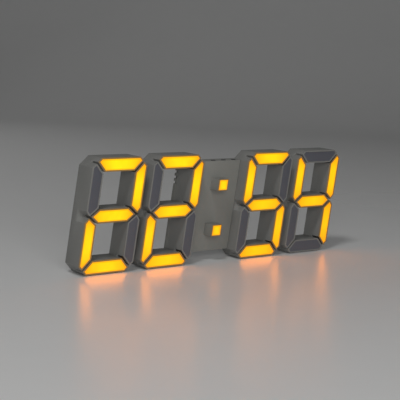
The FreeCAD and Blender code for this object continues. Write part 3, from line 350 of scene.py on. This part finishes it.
def glowing_shell(colour, shell, light):
    """ABS, moulded with a spark-eroded grain: satin grey, with a painted amber tint and painted glow round
    the lit segments, for light through the walls.
    """
    material, tree, shader = textured("spark_eroded_abs", colour, shell.grain, IOR=ABS_IOR)
    # Painted glow: where the leak mark is high the grey turns amber and the case emits faint light
    leak = add(tree, "ShaderNodeAttribute", attribute_name=LEAK).outputs["Fac"]
    grey = shader.inputs["Base Color"].links[0].from_socket
    base = add(tree, "ShaderNodeMix", {"Factor": leak, "A": grey, "B": linear(PAINTED_GLOW_TINT)}, data_type="RGBA")
    tree.links.new(base.outputs["Result"], shader.inputs["Base Color"])
    strength = add(tree, "ShaderNodeMath", {0: leak, 1: light.rim}, operation="MULTIPLY").outputs[0]
    shader.inputs["Emission Color"].default_value = light.throw
    tree.links.new(strength, shader.inputs["Emission Strength"])
    return material


def lit_diffuser(light):
    """Opal polycarbonate, moulded, over amber lamps: bright yellow along its middle, deeper at edge and tips.

    Amber lamps this bright look yellow when faced, while the light they throw on the table stays amber.
    """
    material, tree, shader = surface("opal_polycarbonate_lit", {
        "Base Color": linear(LIT_BODY), "Roughness": LIT_ROUGHNESS, "IOR": POLYCARBONATE_IOR,
        "Specular IOR Level": LIT_SPECULAR})
    place = add(tree, "ShaderNodeTexCoord").outputs["Object"]
    glow = add(tree, "ShaderNodeAttribute", attribute_name=GLOW).outputs["Vector"]
    inside, along, level = add(tree, "ShaderNodeSeparateXYZ", {"Vector": glow}).outputs
    share = add(tree, "ShaderNodeMapRange", {"Value": inside, "To Min": light.border, "To Max": 1.0},
                interpolation_type="SMOOTHSTEP").outputs["Result"]
    along = add(tree, "ShaderNodeMath", {0: along}, operation="ABSOLUTE").outputs[0]
    along = add(tree, "ShaderNodeMath", {0: along, 1: TIP_POWER}, operation="POWER").outputs[0]
    tips = add(tree, "ShaderNodeMapRange", {"Value": along, "To Min": 1.0, "To Max": 1.0 - light.tip})
    cloud = add(tree, "ShaderNodeMapRange", {
        "Value": noise(tree, place, LAMP_PATCH), "From Min": LAMP_BAND[0], "From Max": LAMP_BAND[1],
        "To Min": 1.0 - LAMP_CLOUD, "To Max": 1.0 + LAMP_CLOUD})
    for factor in (level, tips.outputs["Result"], cloud.outputs["Result"]):
        share = add(tree, "ShaderNodeMath", {0: share, 1: factor}, operation="MULTIPLY").outputs[0]
    faced = add(tree, "ShaderNodeMix", {"Factor": share, "A": light.edge, "B": light.middle},
                data_type="RGBA").outputs["Result"]
    seen = add(tree, "ShaderNodeLightPath").outputs["Is Camera Ray"]
    colour = add(tree, "ShaderNodeMix", {"Factor": seen, "A": light.throw, "B": faced}, data_type="RGBA")
    strength = add(tree, "ShaderNodeMapRange", {"Value": seen, "To Min": light.throw_strength, "To Max": 1.0})
    tree.links.new(colour.outputs["Result"], shader.inputs["Emission Color"])
    tree.links.new(strength.outputs["Result"], shader.inputs["Emission Strength"])
    return material


def finish(table):
    """Gives CAD nodes whose shape is right their finishes."""
    for nodes, name, colour, size, roughness, metallic in table:
        bump = METAL_BUMP if metallic else GRAIN_BUMP
        material = textured(name, linear(colour), size, roughness=roughness, bump=bump, Metallic=metallic)[0]
        for node in nodes:
            mesh = NODES[node].data
            mesh.materials.clear()
            mesh.materials.append(material)


# Shapes

def merged_copy(node):
    """Mesh of a CAD node with its triangles joined into whole faces."""
    bm = bmesh.new()
    bm.from_mesh(NODES[node].data)
    bmesh.ops.remove_doubles(bm, verts=bm.verts[:], dist=MERGE_DISTANCE)
    bmesh.ops.dissolve_limit(bm, angle_limit=FLAT_ANGLE, verts=bm.verts[:], edges=bm.edges[:])
    return bm


def round_edges(bm, radius):
    """Rounds the sharp outward edges, apart from the shortest."""
    edges = [e for e in bm.edges if e.is_manifold and e.is_convex and e.calc_face_angle() > ROUND_FROM
             and e.calc_length() > ROUND_LONGER_THAN]
    bmesh.ops.bevel(bm, geom=edges, offset=radius, offset_type="OFFSET", segments=2, profile=0.5,
                    affect="EDGES", clamp_overlap=True, material=-1)


def cut_across(bm, depths):
    """Adds edge loops where planes of constant depth cross the mesh."""
    for depth in depths:
        bmesh.ops.bisect_plane(bm, geom=bm.verts[:] + bm.edges[:] + bm.faces[:], dist=MERGE_DISTANCE,
                               plane_co=(0.0, depth, 0.0), plane_no=(0.0, 1.0, 0.0))


def piece(name, bm, node, material):
    """Finished object for a CAD node: same body, standing for that node."""
    mesh = bpy.data.meshes.new(name)
    bm.to_mesh(mesh)
    bm.free()
    mesh.materials.append(material)
    for polygon in mesh.polygons:
        polygon.use_smooth = True
    mesh.set_sharp_from_angle(angle=SMOOTH_UNDER)
    made = bpy.data.objects.new(name, mesh)
    bpy.context.scene.collection.objects.link(made)
    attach(made, NODES[node]["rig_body"])
    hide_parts(node)


def front_outlines(node):
    """Front faces of a node of diffusers, each as a list of (x, z) corners."""
    bm = merged_copy(node)
    fronts = [f for f in bm.faces if f.normal.y < -FACING]
    outlines = [[(v.co.x, v.co.z) for v in f.verts] for f in fronts]
    bm.free()
    return outlines


def segment_distance(point, a, b):
    """Distance from a point to the straight line between a and b."""
    ax, ay = b[0] - a[0], b[1] - a[1]
    t = ((point[0] - a[0]) * ax + (point[1] - a[1]) * ay) / (ax * ax + ay * ay)
    t = min(max(t, 0.0), 1.0)
    return math.hypot(point[0] - a[0] - t * ax, point[1] - a[1] - t * ay)


def distance(point, outline):
    """How far a point lies outside a convex outline, 0 inside it."""
    sides = list(zip(outline, outline[1:] + outline[:1]))
    turns = [(b[0] - a[0]) * (point[1] - a[1]) - (b[1] - a[1]) * (point[0] - a[0]) for a, b in sides]
    if all(t >= 0 for t in turns) or all(t <= 0 for t in turns):
        return 0.0
    return min(segment_distance(point, a, b) for a, b in sides)


def mark_leak(bm, outlines, front):
    """Writes how much painted glow each corner of a case gets, for light through its walls."""
    layer = bm.verts.layers.float.new(LEAK)
    for v in bm.verts:
        depth = max(v.co.y - front, 0.0)
        away = min(distance((v.co.x, v.co.z), outline) for outline in outlines)
        beside = min(max((LEAK_REACH - away) / (LEAK_REACH - WALL_WIDTH), 0.0), 1.0)
        v[layer] = beside * math.exp(-depth / LEAK_DEPTH)


def moulded_case(name, node, lit_node, radius, material):
    """Case with rounded edges, its corners marked for the painted glow of the diffusers in lit_node."""
    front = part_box(node)[0].y
    bm = merged_copy(node)
    round_edges(bm, radius)
    cut_across(bm, [front + d for d in LEAK_STEPS])
    mark_leak(bm, front_outlines(lit_node), front)
    piece(name, bm, node, material)


def crowned_diffusers(name, node, light, material):
    """Diffusers with a slightly raised middle, their corners marked for the glow."""
    bm = merged_copy(node)
    layer = bm.verts.layers.float_vector.new(GLOW)
    low, high = CAD_BOX
    for face in [f for f in bm.faces if f.normal.y < -FACING]:
        centre = face.calc_center_median()
        longest = max(face.edges, key=lambda e: e.calc_length())
        axis = (longest.verts[1].co - longest.verts[0].co).normalized()
        reach = max(abs((v.co - centre).dot(axis)) for v in face.verts)
        level = (1.0 - light.across * (centre.x - low.x) / (high.x - low.x)
                 - light.down * (high.z - centre.z) / (high.z - low.z))
        for step in range(FADE_RINGS + 1):
            if step:
                bmesh.ops.inset_region(bm, faces=[face], thickness=light.fade / FADE_RINGS,
                                       use_even_offset=True)
            for v in face.verts:
                v[layer] = (step / FADE_RINGS, (v.co - centre).dot(axis) / reach, level)
                v.co.y = centre.y - light.crown * step / FADE_RINGS
    piece(name, bm, node, material)


# Stage

def table_top(stage):
    """Sheet that lies flat under the clock and bends up behind it, square to the view."""
    angles = [math.radians(90.0) * i / SWEEP_STEPS for i in range(SWEEP_STEPS + 1)]
    bend = [(stage.floor_depth + stage.sweep_radius * math.sin(a), stage.sweep_radius * (1.0 - math.cos(a)))
            for a in angles]
    profile = [(-stage.floor_depth, 0.0)] + bend + [(bend[-1][0], bend[-1][1] + stage.sweep_radius)]
    ahead = Vector((math.sin(stage.yaw), math.cos(stage.yaw), 0.0))
    aside = Vector((math.cos(stage.yaw), -math.sin(stage.yaw), 0.0)) * stage.floor_width / 2
    bm = bmesh.new()
    side = [bm.verts.new(ahead * far + Vector((0.0, 0.0, high)) - aside) for far, high in profile]
    edges = [bm.edges.new(ends) for ends in zip(side, side[1:])]
    swept = bmesh.ops.extrude_edge_only(bm, edges=edges)["geom"]
    bmesh.ops.translate(bm, verts=[v for v in swept if isinstance(v, bmesh.types.BMVert)], vec=aside * 2)
    for face in bm.faces:
        face.smooth = True
    mesh = bpy.data.meshes.new("table_top")
    bm.to_mesh(mesh)
    bm.free()
    floor = bpy.data.objects.new("table_top", mesh)
    bpy.context.scene.collection.objects.link(floor)
    # Laminate, pressed to a satin face: pale and even, and glossy enough to mirror the lit segments softly
    mesh.materials.append(textured("satin_laminate", stage.floor_colour, LAMINATE_PATCH,
                                   spread=LAMINATE_MOTTLING, roughness=LAMINATE_ROUGHNESS, bump=0.0,
                                   IOR=LAMINATE_IOR)[0])


def surroundings(stage):
    """Pale, even world."""
    world = bpy.data.worlds.new("studio")
    world.use_nodes = True
    background = world.node_tree.nodes["Background"]
    background.inputs["Color"].default_value = linear(SURROUNDINGS)
    background.inputs["Strength"].default_value = stage.world_strength
    bpy.context.scene.world = world


def softbox(name, power, side, place, shines):
    """Square area light that faces the clock."""
    lamp = bpy.data.lights.new(name, "AREA")
    lamp.energy = power
    lamp.size = side
    holder = bpy.data.objects.new(name, lamp)
    holder.location = place
    holder.visible_glossy = shines
    holder.rotation_euler = (AIM_POINT - Vector(place)).to_track_quat("-Z", "Y").to_euler()
    bpy.context.scene.collection.objects.link(holder)


def camera(stage):
    """Camera turned by the stage's yaw, pitch and roll."""
    level = Vector((math.cos(stage.yaw), -math.sin(stage.yaw), 0.0))
    forward = Vector((math.sin(stage.yaw) * math.cos(stage.pitch),
                      math.cos(stage.yaw) * math.cos(stage.pitch), math.sin(stage.pitch)))
    above = level.cross(forward)
    right = level * math.cos(stage.roll) + above * math.sin(stage.roll)
    up = above * math.cos(stage.roll) - level * math.sin(stage.roll)
    data = bpy.data.cameras.new("camera")
    data.lens = stage.lens
    holder = bpy.data.objects.new("camera", data)
    turn = Matrix((right, up, -forward)).transposed().to_4x4()
    holder.matrix_world = Matrix.Translation(stage.camera_place) @ turn
    bpy.context.scene.collection.objects.link(holder)
    bpy.context.scene.camera = holder


# Operators

class CLOCK_OT_digit_cases(bpy.types.Operator):
    """Rounds the edges of the four digit cases and paints a faint glow round their lit segments"""
    bl_idname = "clock.digit_cases"
    bl_label = "Digit cases"

    def execute(self, context):
        shell, light = context.scene.clock_shell, context.scene.clock_light
        material = glowing_shell(shell.colour, shell, light)
        for digit in DIGITS:
            moulded_case(digit + "_case", digit + "_housing", digit + "_diffusers_lit", shell.edge_radius,
                         material)
        return {"FINISHED"}


class CLOCK_OT_diffusers(bpy.types.Operator):
    """Crowned diffusers, lit and unlit, over each light well and on the colon"""
    bl_idname = "clock.diffusers"
    bl_label = "Diffusers"

    def execute(self, context):
        light = context.scene.clock_light
        lit = lit_diffuser(light)
        # Opal polycarbonate, smoked and moulded: dark, faintly blue plates with a soft sheen
        unlit = textured("smoked_opal_polycarbonate", light.unlit, OPAL_GRAIN, spread=OPAL_MOTTLING,
                         roughness=OPAL_ROUGHNESS, bump=OPAL_BUMP, IOR=POLYCARBONATE_IOR)[0]
        for digit in DIGITS:
            crowned_diffusers(digit + "_lit_plates", digit + "_diffusers_lit", light, lit)
            crowned_diffusers(digit + "_unlit_plates", digit + "_diffusers_unlit", light, unlit)
        crowned_diffusers("colon_plates", "colon_diffusers", light, lit)
        return {"FINISHED"}


class CLOCK_OT_colon_module(bpy.types.Operator):
    """Case of the colon module and its keys"""
    bl_idname = "clock.colon_module"
    bl_label = "Colon module"

    def execute(self, context):
        shell, light = context.scene.clock_shell, context.scene.clock_light
        # The module's case gets the same painted glow round the colon's lit plates
        moulded_case("module_case", "module_housing", "colon_diffusers", shell.edge_radius,
                     glowing_shell(shell.module_colour, shell, light))
        # ABS, moulded: charcoal keys, darker and a little glossier than the case
        material = textured("dark_moulded_abs", shell.key_colour, shell.grain, roughness=KEY_ROUGHNESS,
                            IOR=ABS_IOR)[0]
        for node in KEYS:
            piece(node + "_cap", merged_copy(node), node, material)
        return {"FINISHED"}


class CLOCK_OT_back(bpy.types.Operator):
    """Covers, link bars and battery cap on the back"""
    bl_idname = "clock.back"
    bl_label = "Back"

    def execute(self, context):
        shell = context.scene.clock_shell
        # ABS, moulded: the cases' grey and grain, with no light behind it
        material = textured("moulded_abs_cover", shell.colour, shell.grain, IOR=ABS_IOR)[0]
        for node in COVERS:
            bm = merged_copy(node)
            round_edges(bm, shell.edge_radius * COVER_ROUNDING)
            piece(node + "_plate", bm, node, material)
        return {"FINISHED"}


class CLOCK_OT_fittings(bpy.types.Operator):
    """Finishes of the screws, the inlet and the feet"""
    bl_idname = "clock.fittings"
    bl_label = "Screws, inlet and feet"

    def execute(self, context):
        finish(FITTING_FINISHES)
        return {"FINISHED"}


class CLOCK_OT_inside(bpy.types.Operator):
    """Finishes of the parts sealed inside the cases"""
    bl_idname = "clock.inside"
    bl_label = "Inside parts"

    def execute(self, context):
        finish(INSIDE_FINISHES)
        return {"FINISHED"}


class CLOCK_OT_stage(bpy.types.Operator):
    """Pale table, soft lights and the camera"""
    bl_idname = "clock.stage"
    bl_label = "Stage"

    def execute(self, context):
        stage = context.scene.clock_stage
        table_top(stage)
        surroundings(stage)
        for name, power, side, place, shines in SOFTBOXES:
            softbox(name, getattr(stage, power), side, place, shines)
        camera(stage)
        context.scene.view_settings.view_transform = "Standard"
        return {"FINISHED"}


class CLOCK_PT_panel(bpy.types.Panel):
    """Lists the clock's operators and settings"""
    bl_idname = "CLOCK_PT_panel"
    bl_label = "Clock"
    bl_space_type = "VIEW_3D"
    bl_region_type = "UI"
    bl_category = "Clock"

    def draw(self, context):
        for operator in OPERATORS:
            self.layout.operator(operator.bl_idname)
        for name in SETTINGS:
            group = getattr(context.scene, name)
            box = self.layout.box()
            for prop in group.bl_rna.properties:
                if prop.identifier not in ("rna_type", "name"):
                    box.prop(group, prop.identifier)


OPERATORS = (CLOCK_OT_digit_cases, CLOCK_OT_diffusers, CLOCK_OT_colon_module, CLOCK_OT_back,
             CLOCK_OT_fittings, CLOCK_OT_inside, CLOCK_OT_stage)
SETTINGS = {"clock_shell": ShellSettings, "clock_light": LightSettings, "clock_stage": StageSettings}
CLASSES = (*SETTINGS.values(), *OPERATORS, CLOCK_PT_panel)


def register():
    for cls in CLASSES:
        bpy.utils.register_class(cls)
    for name, group in SETTINGS.items():
        setattr(bpy.types.Scene, name, PointerProperty(type=group))


def unregister():
    for name in SETTINGS:
        delattr(bpy.types.Scene, name)
    for cls in reversed(CLASSES):
        bpy.utils.unregister_class(cls)


def main():
    register()
    bpy.ops.clock.digit_cases()
    bpy.ops.clock.diffusers()
    bpy.ops.clock.colon_module()
    bpy.ops.clock.back()
    bpy.ops.clock.fittings()
    bpy.ops.clock.inside()
    bpy.ops.clock.stage()


if __name__ == "__main__":
    main()
